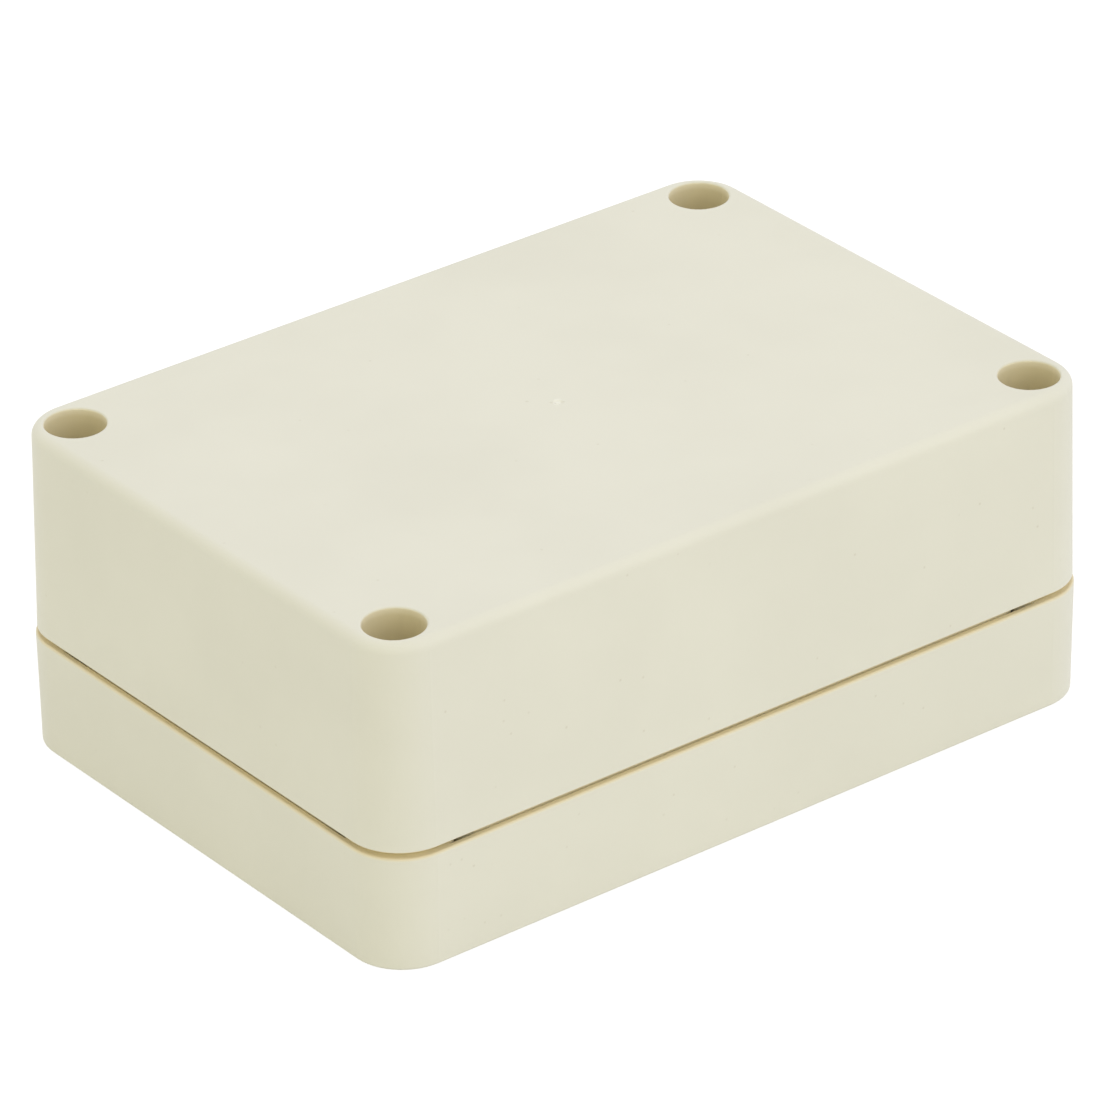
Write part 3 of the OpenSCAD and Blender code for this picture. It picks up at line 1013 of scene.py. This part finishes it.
def knurls(tree, turn, height):
    """How deep the crossed cuts go, from 0 on a tooth to 1 in a cut."""
    slant = combine(tree, "MULTIPLY", height, TEETH / 2 / KNURL_LEAN)
    round_wave = combine(tree, "MULTIPLY", turn, TEETH / 2)
    crossed = []
    for way in ("ADD", "SUBTRACT"):
        wave = combine(tree, "SINE", combine(tree, way, round_wave, slant))
        crossed.append(combine(tree, "ABSOLUTE", wave))
    return ramp_number(tree, combine(tree, "MINIMUM", crossed[0], crossed[1]), KNURL_EDGE, 0.0)


def bore_thread(tree, turn, height):
    """How far a helical groove opens, from 0 on its crest to a half at its root."""
    rise = combine(tree, "DIVIDE", height, PITCH)
    climb = combine(tree, "SUBTRACT", rise, combine(tree, "DIVIDE", turn, math.tau))
    phase = combine(tree, "SUBTRACT", combine(tree, "FRACT", climb), 0.5)
    return combine(tree, "ABSOLUTE", phase)


def knurl_and_thread(tree):
    """The change of radius: cuts on the bands, a groove in the bore."""
    def change(turn, kind, height):
        cut = combine(tree, "MULTIPLY", combine(tree, "COMPARE", kind, BAND), -KNURL_DEEP)
        cut = combine(tree, "MULTIPLY", cut, knurls(tree, turn, height))
        bore = combine(tree, "MULTIPLY", combine(tree, "COMPARE", kind, BORE), BORE_CUT)
        bore = combine(tree, "MULTIPLY", bore, bore_thread(tree, turn, height))
        return combine(tree, "ADD", cut, bore)
    return change

# %% Inserts
tree, given = open_tree("knurled_inserts", {
    "Segments": 96, "Spread X": 2 * SCREW_X, "Spread Y": 2 * SCREW_Y, "Height": insert_low.z,
    "Seed": 7,
})
one = spun(tree, given["Geometry"], given["Segments"], knurl_and_thread(tree))
places = add(tree, "GeometryNodeMeshGrid", Vertices_X=2, Vertices_Y=2)
join(tree, given["Spread X"], places.inputs["Size X"])
join(tree, given["Spread Y"], places.inputs["Size Y"])
any_turn = add(tree, "FunctionNodeRandomValue", {"data_type": "FLOAT_VECTOR"})
join(tree, (0.0, 0.0, 0.0), any_turn.inputs[0])
join(tree, (0.0, 0.0, math.tau), any_turn.inputs[1])
join(tree, given["Seed"], any_turn.inputs["Seed"])
copies = add(tree, "GeometryNodeInstanceOnPoints")
join(tree, places.outputs["Mesh"], copies.inputs["Points"])
join(tree, one, copies.inputs["Instance"])
join(tree, any_turn.outputs[0], copies.inputs["Rotation"])
raised = moved(tree, copies.outputs[0], place=upward(tree, given["Height"]))
close_tree(tree, raised, brass)
inserts = run_tree("knurled_inserts", tree, insert_outline)
dress(inserts, "base", "insert_brass", *("thread_insert_" + corner for corner in CORNERS))

# %% [markdown]
# ## The sealing strip
# The silicone strip lies in the groove of the base and runs inside all four screws. A curve
# drawn by eye would leave the groove in places, so the path is the groove's own rule:
# straight sides, a small outward bend, and a wide turn round each screw. One quarter of the
# path is worked out here, mirrored to the others, and a tree draws a section with rounded
# corners along it.

# %% Quarter of the path
strip_low, strip_high = boxes["seal_gasket"]
STRIP_WIDTH, STRIP_TALL = 1.2 * MM, strip_high.z - strip_low.z
STRIP_X, STRIP_Y = strip_high.x - STRIP_WIDTH / 2, strip_high.y - STRIP_WIDTH / 2
TURN_R, BEND_R = 4.6 * MM, 1.8 * MM
TURN_STEPS, BEND_STEPS = 22, 10


def arc(centre, radius, start, stop, count):
    """Points on an arc, angles in degrees."""
    angles = [math.radians(start + (stop - start) * i / count) for i in range(count + 1)]
    return [(centre[0] + radius * math.cos(a), centre[1] + radius * math.sin(a)) for a in angles]


def quarter_path():
    """The path in the back right quarter, from its middle behind to its middle right."""
    drop_y = SCREW_Y - (STRIP_Y - BEND_R)
    drop_x = SCREW_X - (STRIP_X - BEND_R)
    run_x = math.sqrt((TURN_R + BEND_R) ** 2 - drop_y ** 2)
    run_y = math.sqrt((TURN_R + BEND_R) ** 2 - drop_x ** 2)
    first, second = (SCREW_X - run_x, STRIP_Y - BEND_R), (STRIP_X - BEND_R, SCREW_Y - run_y)
    lean_1 = math.degrees(math.atan2(drop_y, run_x))
    lean_2 = math.degrees(math.atan2(run_y, drop_x))
    screw = (SCREW_X, SCREW_Y)
    points = [(0.0, STRIP_Y), (first[0] / 2, STRIP_Y)]
    points += arc(first, BEND_R, 90.0, lean_1, BEND_STEPS)
    points += arc(screw, TURN_R, lean_1 + 180.0, lean_2 + 180.0, TURN_STEPS)[1:]
    points += arc(second, BEND_R, lean_2, 0.0, BEND_STEPS)[1:]
    return points + [(STRIP_X, second[1] / 2), (STRIP_X, 0.0)]

# %% Path of the strip
quarter = quarter_path()
half = quarter + [(x, -y) for x, y in reversed(quarter[:-1])]
loop = half + [(-x, y) for x, y in reversed(half[1:-1])]
middle = (strip_low.z + strip_high.z) / 2
strip_points = [(x, y, middle) for x, y in loop]
strip_edges = [(i, (i + 1) % len(loop)) for i in range(len(loop))]
around = sum(math.dist(loop[i], loop[i - 1]) for i in range(len(loop)))
print("strip path is", round(around / MM, 1), "mm round")

# %% Sealing strip
tree, given = open_tree("sealing_strip", {
    "Width": STRIP_WIDTH, "Tall": STRIP_TALL, "Rounding": 0.28 * MM,
})
along = add(tree, "GeometryNodeMeshToCurve")
join(tree, given["Geometry"], along.inputs["Mesh"])
section = add(tree, "GeometryNodeCurvePrimitiveQuadrilateral")
join(tree, given["Width"], section.inputs["Width"])
join(tree, given["Tall"], section.inputs["Height"])
soft = add(tree, "GeometryNodeFilletCurve", {"mode": "POLY"}, Count=4)
join(tree, section.outputs[0], soft.inputs["Curve"])
join(tree, given["Rounding"], soft.inputs["Radius"])
drawn = add(tree, "GeometryNodeCurveToMesh")
join(tree, along.outputs[0], drawn.inputs["Curve"])
join(tree, soft.outputs[0], drawn.inputs["Profile Curve"])
close_tree(tree, drawn.outputs[0], strip_silicone)
strip = run_tree("sealing_strip", tree, strip_points, strip_edges)
dress(strip, "base", "gasket_rubber", "seal_gasket")
